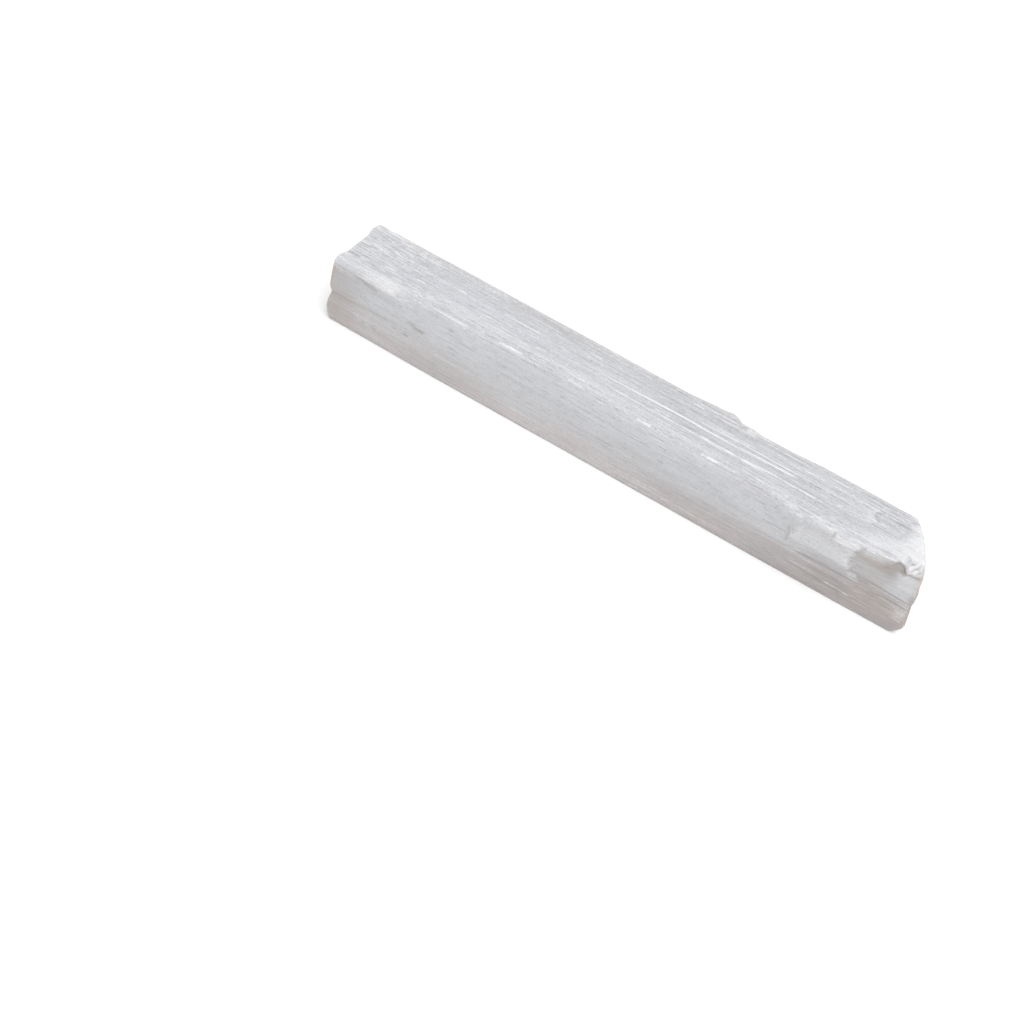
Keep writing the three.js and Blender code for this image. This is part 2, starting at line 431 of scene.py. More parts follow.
def painted_overhang_shadow(stone):
    """Under the recess's top edge runs a slanting brown shadow, painted in as the shade of the overhanging
    edge.
    """
    x, y, z = stone.start.T
    bared = rise(past_break(stone), -0.3, 0.6)
    under_edge = fall(y, -7.9, -7.5)
    slanting = rise(z + 0.12 * (x - 64), 14.0, 16.6) * fall(x, 66.8, 69) * under_edge
    stone.add_clear_and_shade(bared * slanting * (0.8 + 0.2 * rise(x, 62, 65)))
    stone.darken(0.15 * bared * fall(x, 66, 71) * stone.facing("front") * under_edge)
    stone.darken(0.45 * rise(x, 62, 65.5) * slanting * rise(z, 15.8, 17.4))


def recess_edge(stone):
    """The top edge over the recess is worn down: a little painted shade darkens it, with white along its
    corner.
    """
    x, y, z = stone.start.T
    rubbed = rise(x, 59, 62) * fall(x, 63.5, 67) * fall(y, -8.5, -6.6)
    stone.sink_top(0.42 * rubbed)
    stone.darken(0.15 * rubbed * rise(z, 18, 18.8))
    stone.whiten(0.3 * between(x, 60, 65, 1.5) * rise(z, 17.7, 18.7) * fall(y, -7.6, -6.8))


def ragged_lip(stone):
    """The edge where the slab broke off crumbles: its crumbs are white, with painted shade in the gaps
    between them.
    """
    z = stone.start[:, 2]
    front = stone.facing("front")
    past = past_break(stone)
    crumbs = stone.grain(0.9, 0.7, 23)
    lip = between(past, -1.7, 0.8, 0.7) * rise(z, 9.3, 10) * fall(z, 17.5, 18.8)
    stone.sink_front(0.25 * lip * (crumbs - 0.4))
    stone.whiten(front * lip * 0.6 * rise(crumbs, 0.5, 0.8))
    stone.darken(front * lip * (0.1 + 0.4 * fall(crumbs, 0.2, 0.5)) * rise(past, -1.6, -0.9))


def right_rim(stone):
    """The outermost rim of the right end is painted darker and a little brown, as shade along the rim."""
    x, y, z = stone.start.T
    inset = right_reach(y, z) - x
    rim = fall(y, -7.9, -6.5) * (1 - 0.3 * rise(z, 12, 17))
    stone.add_clear_and_shade(fall(inset, 0.3, 0.9 + 1.3 * rise(z, 8, 10)) * rim)
    stone.darken(0.6 * fall(inset, 0.2, 0.9) * rim * (0.6 + 0.4 * stone.sides))
    stone.darken(0.5 * fall(inset, 0.25, 0.8) * rise(z, 16, 18) * stone.sides)


def crumbling(stone):
    """The unevenness of the crumbled edge at the right end, from -0.5 to 0.5."""
    return stone.grain(1.7, 1.3, 31, 2) - 0.5


def edge_bite(stone):
    """Beyond the slab the top edge is bitten away, and painted shade darkens the hollow under the bite's
    arched brim.
    """
    x, y, z = stone.start.T
    crumbs = crumbling(stone)
    bitten = np.interp(x + 0.6 * crumbs, (63, 65.8, 66.7, 68.7, 69.6), (0, 0.5, 1.05, 1.05, 0))
    stone.sink_front(bitten * rise(z + crumbs, 16.2, 18.6))
    under_edge = fall(y, -7.7, -7.2)
    brim = np.interp(x, (63, 65.8, 66.9, 68.1, 69.7), (18.2, 18.4, 18.9, 18.8, 17.9))
    length = np.interp(x, (62.5, 65.8, 66.6, 69.2, 69.7), (0, 0.3, 1, 1, 0))
    arch = hump(z + 0.6 * crumbs - brim, 0.4) * length * under_edge
    hollow = between(x, 66.3, 69.3, 0.6) * rise(z, 16.9, 17.8) * fall(z - brim, -0.2, 0.2) * under_edge
    stone.add_clear_and_shade(np.maximum(arch, hollow))
    stone.darken(np.maximum(0.78 * arch, 0.42 * hollow))


def crumbly_knob(stone):
    """Past the bite a crumbly knob is left at the very end: ridged and white, with painted shade in its
    creases and a painted shadow line under it.
    """
    x, y, z = stone.start.T
    crumbs = crumbling(stone)
    fine = stone.grain(0.9, 0.7, 32) - 0.5
    under = 18.3 + 0.2 * (x - 69.1) - 0.5 * crumbs
    knob = rise(x + crumbs, 68.5, 69.5) * rise(z - under, 0.1, 0.6) * fall(y + crumbs, -4.6, -3.0)
    slant = x - 0.5 * (y + 6) + 1.2 * crumbs
    pitch = 1.3
    ridges = 0.5 + 0.5 * np.cos(math.tau * (slant - 68.7) / pitch)
    stone.sink_front(-0.8 * crumbs * knob)
    stone.sink_top((0.9 * crumbs - 0.45 * ridges + 0.2) * knob)
    stone.scrape(knob)
    stone.whiten(knob * (0.38 + 0.4 * ridges + 0.6 * crumbs + 0.4 * fine))
    stone.darken(knob * 0.5 * rise(-crumbs - 0.6 * fine, 0.1, 0.3) * (1 - ridges))
    stone.darken(0.6 * hump(z - under, 0.3) * fall(y, -7.5, -7.0) * between(x, 69.7, 73.5, 0.5))


def loose_slab(stone):
    """Left of the break the slab still holds, and stands proud over a groove that is painted with shade; low
    down the front is darker.
    """
    x, _, z = stone.start.T
    front = stone.facing("front")
    holding = 1 - broken_off(stone)
    uneven = stone.grain(7, 1.3, 42) - 0.5
    ragged = stone.grain(9, 2, 41) * 0.7
    held = rise(x + 3 * uneven, 42.8, 45) * fall(x, 57, 59)
    proud = held * rise(z, 10.9 + ragged, 11.8 + ragged) * fall(z + 2.5 * uneven, 16.4, 18.4)
    groove = rise(x, 43.5, 52) * holding * rise(z, 7.0, 8.6) * fall(z, 8.8 + ragged, 11.6 + ragged)
    stone.sink_front(0.4 * groove - 0.16 * proud)
    stone.whiten(front * 0.48 * proud)
    deep = between(z, 7.9, 8.6, 0.8) * rise(x, 46, 56) * holding
    stone.add_clear_and_shade(front * (0.3 * groove + 0.2 * deep))
    # Low down, towards the right, the front is darker.
    clearer = np.interp(x, (2, 20, 36, 46, 58), (0, 0.40, 0.38, 0.7, 0.9))
    stone.add_clear_and_shade(front * clearer * fall(z, 6.6, 9.4) * (1 + 0.5 * uneven))


def slab_crack(stone):
    """A short crack runs across the loose slab's far end."""
    x, _, z = stone.start.T
    aside = stray(z, 1.3, 47)
    line = 43.35 - 0.08 * (z - 12) + 0.9 * aside
    crack = between(x, line - 0.2, line + 0.1, 0.6) * between(z, 10.4, 14.0, 1.4)
    stone.sink_front(0.25 * crack)
    stone.darken(stone.facing("front") * 0.2 * crack * (1 + aside))


def slab_step(stone):
    """The loose slab's top edge has a small step in it, and is frayed and white on both sides of the step."""
    x, y, z = stone.start.T
    step = rise(x, 51.9, 52.2) * fall(x, 58, 60) * rise(z, 16.5, 17.4)
    stone.sink_front(0.3 * step)
    stone.sink_top(0.25 * step * fall(y, -8, -5.5))
    uneven = stone.grain(7, 1.3, 42) - 0.5
    frayed = 0.4 + 0.6 * rise(stone.grain(1.6, 0.6, 43, 2), 0.3, 0.7)
    before = between(x + 6 * uneven, 47, 51, 1.8) * between(y, -7.6, -6.0, 0.8) * rise(z, 17.2, 18.2)
    stone.whiten(0.6 * frayed * before)
    beyond = rise(x, 51.8, 52.8) * fall(past_break(stone), -0.6, 0.1) * rise(z, 17.2, 18.0)
    stone.whiten(0.8 * (0.3 + 0.7 * frayed) * beyond * fall(y, -8.1, -7.5))
    stone.darken(0.3 * between(x, 51.8, 52.2, 0.3) * between(z, 17.2, 18.9, 0.4) * fall(y, -7.4, -6.4))


def front_ledge(stone):
    """A long faint cleavage step parts the front's pale upper half from its lower half, which is painted
    warmer as bounced light.
    """
    x, _, z = stone.start.T
    above = z - 8.1 - 0.5 * (stone.grain(22, 5, 45) - 0.5)
    run = rise(x, 5, 30) * fall(x, 59, 60)
    stone.sink_front(0.12 * run * rise(above, -0.12, 0.12) * fall(z, 9, 13))
    stone.darken(stone.facing("front") * 0.24 * run * hump(above, 0.2))


def chip_streak(stone):
    """A long thin chip low on the front, broken along its length and hooked at its end."""
    x, _, z = stone.start.T
    line = np.interp(x, (46, 50.5, 55, 60.5, 62.3, 63.4), (5.2, 4.8, 4.2, 3.95, 4.2, 4.9))
    above = z - line - 0.4 * (stone.grain(3, 40, 53) - 0.5)
    run = between(x, 46.5, 63.2, 0.6)
    stone.sink_front(0.22 * run * fall(above, -0.25, 0.0) * rise(above, -2.4, -0.5))
    strength = (0.6 + 0.4 * rise(x, 52, 58)) * (1 - 0.4 * rise(x, 61, 62.5))
    broken = strength * rise(stone.grain(2.4, 30, 51), 0.2, 0.65)
    stone.whiten(stone.facing("front") * run * between(above, -0.1, 0.14, 0.22) * 0.8 * broken)


def left_groove(stone):
    """A shallow cleavage groove runs in from the left end at mid-height, with painted shade along it and a
    hollow under it.
    """
    x, _, z = stone.start.T
    front = stone.facing("front")
    above = z - (8.45 + 0.075 * (x + 75) + 0.3 * (stone.grain(14, 3, 61) - 0.5))
    opening = fall(x, -76, -55)
    across = np.abs(above) / (0.5 + 1.2 * opening)
    stone.sink_front(0.22 * opening**0.8 * fall(across, 0, 1))
    stone.darken(front * 0.5 * fall(x, -62, -48) * hump(above, 0.2))
    stone.sink_front(0.2 * fall(x, -76, -66) * between(z, 5.5, 7.6, 2.5))
    stone.whiten(front * 0.55 * between(x, -74.6, -67, 2) * hump(z - 5.9, 0.22))


def left_rim(stone):
    """Towards the left end the front is darker and warmer, and painted shade makes its outermost rim darkest.
    """
    x, y, z = stone.start.T
    front = stone.facing("front")
    near_end = fall(x + 6 * (stone.grain(12, 4, 62) - 0.5), -76, -62)
    low = fall(z, 8.8, 10.2) * fall(x, -62, -40)
    stone.add_clear_and_shade(front * (0.5 * near_end * fall(z, 16.4, 17.2) + 0.12 * low))
    stone.darken(front * 0.22 * fall(x, -75, -62) * fall(z, 9, 16))
    inset = left_reach(y, z) + x
    rim = fall(y, -7.9, -6.5) * fall(z, 16.0, 17.0)
    stone.add_clear_and_shade(fall(inset, 0.3, 2.0) * rim)
    tone = 0.18 + 0.1 * rise(z, 6, 9) + 0.12 * fall(inset, 0.2, 0.8)
    stone.darken(fall(inset, 0.3, 3.0) * rim * tone)


def left_shoulder(stone):
    """The left end's top edge is crisp, bruised white, and stands a little proud of the front below it, with
    a painted shadow line under it.
    """
    x, y, z = stone.start.T
    ragged = 0.35 * (stone.grain(8, 2, 71) - 0.5) - 0.06 * (x + 67)
    torn = stone.grain(6, 0.8, 72, 2) - 0.5
    length = between(x + 6 * torn, -75, -70, 7)
    stone.sink_front(0.24 * length * fall(z, 16.9 + ragged, 17.3 + ragged) * rise(z, 11, 16.9))
    stone.darken(stone.facing("front") * 0.4 * length * between(z - ragged, 16.75, 17.0, 0.12))
    band = fall(x + 6 * torn, -60, -54) * fall(y + 1.5 * torn, -6.4, -5.2) * rise(z - ragged, 17.0, 17.5)
    stone.whiten(band * (0.16 + 0.34 * rise(x, -74, -62) + 0.2 * torn))
    stone.whiten(0.8 * hump(x + 60.8, 1.8) * hump(z - 18.0, 1.1) * fall(y, -7, -5))


def splinter(stone):
    """A thin splinter has lifted off the back edge, clear and a little dark, with white stone before it."""
    x, y, z = stone.start.T
    thin = rise(y, 7.4, 7.75)
    torn = 0.55 + 0.45 * stone.grain(1.6, 1.0, 81, 2)
    climb = np.interp(x, (9.4, 20.8, 22.5), (0, SPLINTER_RISE + 0.15, 0.0))
    stone.points[:, 2] += climb * thin * rise(z, TOP - 2, TOP - 0.4) * torn
    stone.whiten(stone.facing("top") * 0.5 * between(x, 13, 21, 3) * between(y, 6.7, 7.1, 0.3))
    raised = between(x, 11, 22.5, 2) * between(y, 7.75, 8.2, 0.3) * rise(z, TOP - 0.8, TOP - 0.4)
    stone.add_clear_and_shade(0.6 * raised)
    stone.darken(0.3 * raised)


def broken_back(stone):
    """Beyond the splinter the back edge is broken away, white where the break starts."""
    x, y, z = stone.start.T
    depth = np.interp(x, (22.2, 22.6, 26.6, 27.4, 36, 44, 62, 72), (0, 0.35, 0.4, 0.85, 0.8, 0.2, 0.3, 0))
    stone.sink_back(depth * rise(z, TOP - 2.8, TOP - 2.2) * (0.85 + 0.3 * stone.grain(5, 1, 82)))
    stone.whiten(stone.facing("top") * 0.55 * between(x, 24.8, 26.8, 0.8) * between(y, 6.3, 7.6, 0.5))


def back_ledges(stone):
    """The back is a split face: it stands out most under its top edge, and steps in at ledges below."""
    x, _, z = stone.start.T
    uneven = 0.8 * (stone.grain(30, 4, 91) - 0.5)
    stone.sink_back(0.15 * fall(z - uneven, 7.0, 7.4))
    stone.sink_back(0.25 * fall(z + uneven, 13.2, 13.5) * rise(x, -40, -30) * fall(x, 20, 40))
    stone.sink_back(0.3 * fall(z + 0.6 * uneven, 3.2, 3.6) * rise(x, 5, 14))


def ground_ends(stone):
    """Both ends were cut and rubbed down white, and the top falls away a little towards the right one."""
    x, y, _ = stone.start.T
    top = stone.facing("top")
    uneven = stone.grain(2.5, 0.9, 101, 2) - 0.5
    by_knob = rise(x, 68.6, 69.6) * fall(y, -5.2, -3.8)
    stone.sink_top(0.35 * rise(x, 64, 76) * (1 - 0.6 * by_knob))
    right = rise(x + 4 * uneven + 8 * hump(y + 3.4, 2.6), 63.5, 70)
    right = right * (1 - rise(x, 67.5, 69.0) * fall(y, -5.4, -3.6))
    left = fall(x + 6 * uneven, -75.5, -71)
    stone.whiten(top * right * (0.54 + 0.21 * rise(x, 63, 70)))
    stone.whiten(top * left * 0.25)
    stone.whiten(0.72 * (1 - stone.sides) * rise(y, -8.0, -7.0))


def scar(stone):
    """A shallow clear scar on the top, white along its curved edge."""
    x, y, _ = stone.start.T
    top = stone.facing("top")
    past_edge = x - (57.6 + 0.9 * ((y - 2.9) / 1.6) ** 2)
    inside = rise(past_edge, -0.1, 0.5) * fall(x, 65.5, 67.5) * between(y, 1.4, 4.4, 0.7)
    crescent = inside * fall(past_edge, 0.8, 2.2)
    back = inside * rise(y + 2 * (stone.grain(3, 0.7, 111) - 0.5), 2.4, 3.6) * rise(x, 62, 64)
    stone.sink_top(0.16 * inside)
    stone.add_clear_and_shade(top * np.maximum(0.65 * crescent, 0.05 * inside + 0.8 * back))
    stone.scrape(0.6 * top * inside)
    stone.whiten(top * 0.42 * between(past_edge, -1.3, -0.1, 0.8) * between(y, 1.0, 4.6, 0.9))


# Bruised fibres on the top: where each starts and ends, how far back it lies, half width and strength.
STREAKS = (
    (-76, -56, -3.8, 0.25, 0.6),
    (-74.4, -69, -4.3, 0.2, 0.5),
    (-74, -68, 7.2, 0.5, 0.5),
    (-67.7, -63, 2.1, 0.2, 0.8),
    (-67.3, -61, 0.55, 0.2, 0.9),
    (-62, -52, -4.6, 0.2, 0.7),
    (-58.5, -53.8, 5.3, 0.25, 0.5),
    (-58, -55, 6.9, 0.2, 0.5),
    (-51, -49, -5.9, 0.2, 0.5),
    (-51, -46.5, 1.9, 0.35, 0.8),
    (-46.3, -40.1, -5.9, 0.2, 0.6),
    (-46, -24, -3.8, 0.2, 0.5),
    (-45, -39.5, 5.5, 0.25, 0.7),
    (-43, -39.8, -4.95, 0.22, 0.7),
    (-43, -40, 5.2, 0.18, 0.65),
    (-42.3, -37.5, 7.1, 0.2, 0.6),
    (-40.4, -34.8, -1.2, 0.25, 0.7),
    (-40, -38.4, 7.5, 0.4, 0.7),
    (-38, -26, -0.6, 0.2, 0.55),
    (-35, -30, -2.1, 0.2, 0.75),
    (-32.9, -27.6, -5.5, 0.26, 0.9),
    (-31.8, -25.7, 1.9, 0.25, 0.7),
    (-31, -25.6, 3.65, 0.22, 0.7),
    (-27.5, -22, -1.3, 0.24, 0.6),
    (-24, -17, 4.4, 0.2, 0.5),
    (-23, -17.5, -2.3, 0.3, 0.6),
    (-21.9, -18, 1.5, 0.22, 0.8),
    (-15.8, -12, -4.4, 0.25, 0.7),
    (-15.1, -11.3, -5.55, 0.25, 0.7),
    (-10.4, -8.1, 5.1, 0.3, 0.8),
    (-5.0, 1.5, -2.3, 0.25, 0.8),
    (-3.5, -0.4, -5.66, 0.28, 0.5),
    (2.6, 5.6, -5.75, 0.28, 0.8),
    (4.8, 8.0, -1.25, 0.28, 0.9),
    (5.5, 16.5, -2.3, 0.28, 0.8),
    (8.6, 11.6, -5.93, 0.3, 0.65),
    (11.6, 13.8, 6.0, 0.3, 0.8),
    (17, 32, -2.1, 0.55, 0.95),
    (18.9, 26.5, -5.7, 0.3, 0.9),
    (19.5, 23.9, 2.4, 0.2, 0.7),
    (30, 45, -1.85, 0.5, 0.75),
    (30, 38, 6.6, 0.2, 0.5),
    (30.8, 33.9, -4.95, 0.28, 0.7),
    (38, 44, 5.3, 0.2, 0.7),
    (40.7, 44.6, 4.4, 0.25, 0.85),
    (46, 56, -4.5, 0.3, 0.5),
    (47.5, 50, 6.2, 0.25, 0.8),
    (49.9, 54.8, -0.3, 0.28, 0.8),
    (51.5, 54.5, 3.9, 0.3, 0.65),
    (54.5, 57.2, 2.7, 0.3, 0.65),
    (57, 67, -4.0, 0.4, 0.5),
    (58, 66, -1.5, 0.35, 0.5),
    (58.8, 61.0, 1.0, 0.22, 0.75),
    (60.5, 66.0, 5.7, 0.22, 0.65),
)


def streaks(stone):
    """Long silvery streaks where bundles of fibres are bruised."""
    x, y, _ = stone.start.T
    top = stone.facing("top")
    broken_up = 0.55 + 0.45 * rise(stone.grain(2.2, 0.4, 121), 0.25, 0.6)
    for first, last, back, half_width, strength in STREAKS:
        aside = y - back - 0.25 * stray(x, 12, int(first) + 200)
        line = hump(aside, half_width) * between(x, first, last, 1.2)
        stone.brighten(top * strength * line * broken_up)


def frayed_patches(stone):
    """Two white frayed patches on the top: one runs down over the front edge, and one lies far back."""
    x, y, z = stone.start.T
    wisp = hump(y + 5.7 + 0.29 * (x - 37.3), 0.45) * between(x, 36, 43.5, 1.5)
    stone.whiten(0.75 * wisp * rise(z, 16.6, 17.6) * rise(stone.grain(4, 0.7, 123), 0.1, 0.5))
    patch = between(x, -61, -56, 1) * between(y, 5.4, 7.4, 0.6)
    stone.whiten(stone.facing("top") * 0.4 * patch * rise(stone.grain(2, 0.6, 122), 0.4, 0.7))


# Gouges between the fibres on the top: start, end, how far back, half width and depth.
GOUGES = (
    (-76.5, -69, 5.2, 0.25, 0.22),
    (-76.5, -71.5, 0.35, 0.22, 0.22),
    (-76.5, -72, -4.1, 0.3, 0.22),
    (-75, -69, -2.9, 0.25, 0.18),
    (-74, -69, -1.2, 0.15, 0.15),
    (-73, -66, 3.7, 0.15, 0.15),
    (-71, -57, 7.2, 0.28, 0.2),
    (14, 40, 1.5, 0.12, 0.10),
    (20, 52, 3.3, 0.15, 0.08),
    (36, 58, -1.2, 0.3, 0.06),
)


def gouges(stone):
    """Narrow gouges where fibres have pulled out of the top, painted with shade, darkest near the left end.
    """
    x, y, _ = stone.start.T
    top = stone.facing("top")
    dark = 0.5 * fall(x, -71, -60) * rise(stone.grain(3, 0.6, 141), 0.25, 0.7)
    for first, last, back, half_width, depth in GOUGES:
        aside = y - back - 0.3 * stray(x, 9, int(last) + 300)
        line = hump(aside, half_width) * between(x, first, last, 1.5)
        stone.sink_top(depth * line)
        stone.add_clear_and_shade(top * line * (0.35 + 1.6 * depth))
        stone.darken(top * line * dark)


# Dark inclusions and pits on the front: start, end, height, half height, strength and depth.
MARKS = (
    (-67.3, -63.6, 16.2, 0.36, 0.38, 0.05),
    (-58.4, -56.6, 8.4, 0.22, 0.45, 0.05),
    (-55.8, -53.8, 8.2, 0.36, 0.62, 0.1),
    (-55.3, -52.4, 12.5, 0.16, 0.60, 0.05),
    (-53.2, -50.0, 11.6, 0.52, 0.62, 0.1),
    (-46, -41, 14.9, 0.07, 0.40, 0.03),
    (-45.1, -43.9, 15.9, 0.22, 0.62, 0.1),
    (-43.9, -41.9, 11.7, 0.2, 0.48, 0.06),
    (-42.9, -36.9, 14.3, 0.05, 0.30, 0.08),
    (-30, -27, 12.7, 0.1, 0.35, 0.03),
    (-20, -17.5, 13.9, 0.1, 0.35, 0.03),
    (-14, -10, 9.9, 0.08, 0.35, 0.03),
    (-8.1, -7.5, 12.4, 0.14, 0.85, 0.1),
    (-4.6, 0.3, 9.25, 0.05, 0.3, 0.08),
    (-4.3, -0.4, 8.4, 0.06, 0.3, 0.05),
    (2.4, 3.4, 10.8, 0.15, 0.5, 0.08),
    (3.0, 6.5, 16.6, 0.08, 0.40, 0.03),
    (6, 8, 9.2, 0.1, 0.35, 0.03),
    (10.5, 12.5, 12.4, 0.24, 0.42, 0.08),
    (22.7, 23.3, 13.7, 0.14, 0.70, 0.1),
    (38.0, 42.9, 12.5, 0.12, 0.50, 0.05),
)


def marks(stone):
    """Small dark inclusions, pits and fine cracks on the front."""
    x, _, z = stone.start.T
    front = stone.facing("front")
    soft = 0.08
    for first, last, level, half_height, strength, depth in MARKS:
        spot = between(x, first + 0.3, last - 0.3, 0.5) * hump(z - level, half_height + soft)
        stone.darken(front * strength * spot)
        stone.sink_front(depth * spot)


# Soft clouds: where each is centred, how far it spreads, and how much whiter it is, or clearer below 0.
CLOUDS = (
    # This low cloud on the front is painted light, which lifts the lower front out of the floor's shade.
    ((10, -8.5, 2.0), (34, 3, 2.8), 0.24),
    ((37, -8.5, 12.0), (9, 3, 4.0), 0.26),
    ((-46, -8.5, 3.2), (15, 3, 3.0), -0.40),
    ((-72, -8.0, 16.9), (4, 2, 1.3), 0.40),
    ((60.8, -4.8, 19.4), (4, 1.6, 2.0), 0.60),
)


def clouds(stone):
    """Milkier and clearer clouds inside the stone; the low one on the front is painted light."""
    uneven = 0.8 + 0.4 * stone.grain(12, 0.7, 151)
    for centre, spread, amount in CLOUDS:
        away = ((stone.start - centre) / spread) ** 2
        cloud = np.exp(-away.sum(axis=1)) * uneven
        stone.whiten(max(amount, 0) * cloud)
        stone.add_clear_and_shade(max(-amount, 0) * cloud)


def fibres(stone, normals):
    """Lets the fibres stand out along the bar: broad ledges, ridges, fine threads, and splintered pits."""
    top = np.maximum(normals[:, 2], 0)
    under = np.maximum(-normals[:, 2], 0)
    end = np.abs(normals[:, 0])
    broad = stone.grain(70, 2.8, 131) - 0.5
    count = 5
    ledges = np.floor(stone.grain(45, 3.4, 132) * count + 0.35 * stone.grain(8, 0.8, 133)) / count - 0.5
    ridges = stone.grain(26, 1.0, 134) - 0.5
    threads = stone.grain(11, 0.5, 135) - 0.5
    pits = rise(stone.grain(6, 0.55, 136), 0.72, 0.86)
    rough = 1 + 0.9 * fall(stone.start[:, 0], -66, -50) * top
    height = 0.10 * broad + 0.14 * ledges + rough * (0.10 * ridges + 0.12 * threads) - 0.10 * pits * top
    strength = (1 - end) * (0.45 + 0.55 * top) * (1 - 0.6 * under)
    ends = 0.16 * (stone.grain(3, 2.6, 137) - 0.5) + 0.05 * (stone.grain(0.9, 0.8, 138) - 0.5)
    stone.points += normals * (height * strength + ends * end**2)[:, None]


def bruises(stone):
    """Sets how thickly white dashes lie and how strongly the long fibres show: most of all on the top."""
    x, y, z = stone.start.T
    top = stone.facing("top")
    hidden = 1 - stone.facing("front") - top
    left = fall(x, -66, -45)
    right = rise(x, 40, 60)
    rubbed = fall(x, -62, -52) * fall(y, -6.2, -5.2)
    # Painted shade: the top is darker towards its back edge.
    stone.add_clear_and_shade(top * 0.28 * rise(y, 2.5, 7.5) * fall(-x, 62, 72))
    stone.bruise = top * (0.35 + 0.50 * left + 0.2 * right) * (1 - 0.8 * rubbed) + 0.45 * hidden
    low_down = fall(z, 8, 10) * (0.25 + 0.5 * rise(x, 5, 40))
    on_top = top * 0.42 * rise(x, -50, 30) * (0.35 + 0.65 * rise(y, -5.6, -3.2))
    stone.comb(0.3 + low_down + on_top + 0.2 * hidden)


# Everything that is done to the bar, in order.
WORKINGS = (
    broken_slab, cleavage_steps, pale_lobe, painted_overhang_shadow, recess_edge, ragged_lip, right_rim, edge_bite,
    crumbly_knob, loose_slab, slab_crack, slab_step, front_ledge, chip_streak, left_groove, left_rim,
    left_shoulder, splinter, broken_back, back_ledges, ground_ends, scar, streaks, frayed_patches, gouges,
    marks, clouds, bruises,
)


def wand():
    """The wand: its blank is worn, worked and given its fibres, and its marks are kept as attributes."""
    bar = blank()
    mesh = bar.data
    cube = read(mesh)
    on_end = np.abs(cube[:, 0]) > 1 - TINY
    stone = Stone(bar_outline(cube, on_end), on_end)
    for work in WORKINGS:
        work(stone)
    mesh.vertices.foreach_set("co", stone.points.ravel())
    mesh.update()
    fibres(stone, read(mesh, "normal"))
    low = (-HALF_LENGTH, -HALF_WIDTH, 0)
    high = (HALF_LENGTH, HALF_WIDTH, TOP + SPLINTER_RISE)
    mesh.vertices.foreach_set("co", (np.clip(stone.points, low, high) * MM).ravel())
    for layer in LAYERS:
        values = np.clip(getattr(stone, layer), 0, 1).astype(np.float32)
        mesh.attributes.new(layer, "FLOAT", "POINT").data.foreach_set("value", values)
    mesh.update()
    bpy.ops.object.shade_smooth()
    return bar


# ---- shaders ----


class Wire:
    """A shader socket that adds and multiplies: every sum adds its Math node to the same tree."""

    def __init__(self, tree, socket):
        self.tree = tree
        self.socket = socket

    def maths(self, operation, *values):
        return add_node(self.tree, "ShaderNodeMath", {"operation": operation}, dict(enumerate(values)))

    def __add__(self, other):
        return self.maths("ADD", self, other)

    def __mul__(self, other):
        return self.maths("MULTIPLY", self, other)

    def __sub__(self, other):
        return self.maths("SUBTRACT", self, other)

    def __rsub__(self, other):
        return self.maths("SUBTRACT", other, self)

    __radd__ = __add__
    __rmul__ = __mul__

    def climb(self, start, end):
        """0 below start, 1 above end, and a smooth climb between them."""
        settings = {"interpolation_type": "SMOOTHSTEP"}
        sockets = {"Value": self, "From Min": start, "From Max": end}
        return add_node(self.tree, "ShaderNodeMapRange", settings, sockets)

    def top_with(self, other):
        return self.maths("MAXIMUM", self, other)

    def size(self):
        """How far it is from 0."""
        return self.maths("ABSOLUTE", self)


def fill_sockets(tree, node, sockets):
    """Gives each of a node's sockets its value, or its link."""
    for name, value in sockets.items():
        if isinstance(value, Wire):
            tree.links.new(value.socket, node.inputs[name])
        else:
            node.inputs[name].default_value = value


def add_node(tree, kind, settings, sockets, out=0):
    """Adds a node: its settings first, then a value or a link for each socket. Gives back one output."""
    node = tree.nodes.new(kind)
    for name, value in settings.items():
        setattr(node, name, value)
    fill_sockets(tree, node, sockets)
    return Wire(tree, node.outputs[out])


def blend_colour(tree, factor, first, second):
    """Goes from the first colour to the second as the factor goes from 0 to 1."""
    settings = {"data_type": "RGBA", "blend_type": "MIX"}
    return add_node(tree, "ShaderNodeMix", settings, {0: factor, 6: first, 7: second}, out=2)


def drawn_out(tree, place, along, across, detail, shift):
    """Noise whose marks are this many mm long and wide, lying along the fibres."""
    scale = (1 / MM / along, 1 / MM / across, 1 / MM / across)
    shifts = (shift, shift * 1.7, shift * 2.3)
    settings = {"operation": "MULTIPLY_ADD"}
    stretched = add_node(tree, "ShaderNodeVectorMath", settings, {0: place, 1: scale, 2: shifts})
    sockets = {"Vector": stretched, "Scale": 1.0, "Detail": detail, "Roughness": 0.55}
    return add_node(tree, "ShaderNodeTexNoise", {}, sockets)


def rgba(red, green, blue):
    """A colour with nothing see-through in it."""
    return (red, green, blue, 1.0)


def new_material(name):
    """A new material, with its node tree and its shader."""
    material = bpy.data.materials.new(name)
    material.use_nodes = True
    tree = material.node_tree
    return material, tree, tree.nodes["Principled BSDF"]


# The noise in the stone: how long and how wide its marks are, its detail, and how far it is shifted.
NOISES = {
    "clouds": (34, 7, 2, 3),
    "bands": (60, 1.8, 1, 11),
    "strands": (36, 0.42, 1.5, 17),
    "threads": (17, 0.28, 2, 23),
    "wisps": (3.0, 0.24, 2, 29),
    "dashes": (4.5, 0.24, 1.5, 37),
    "smudges": (2.2, 0.36, 2, 43),
    "specks": (0.6, 0.28, 1, 51),
}

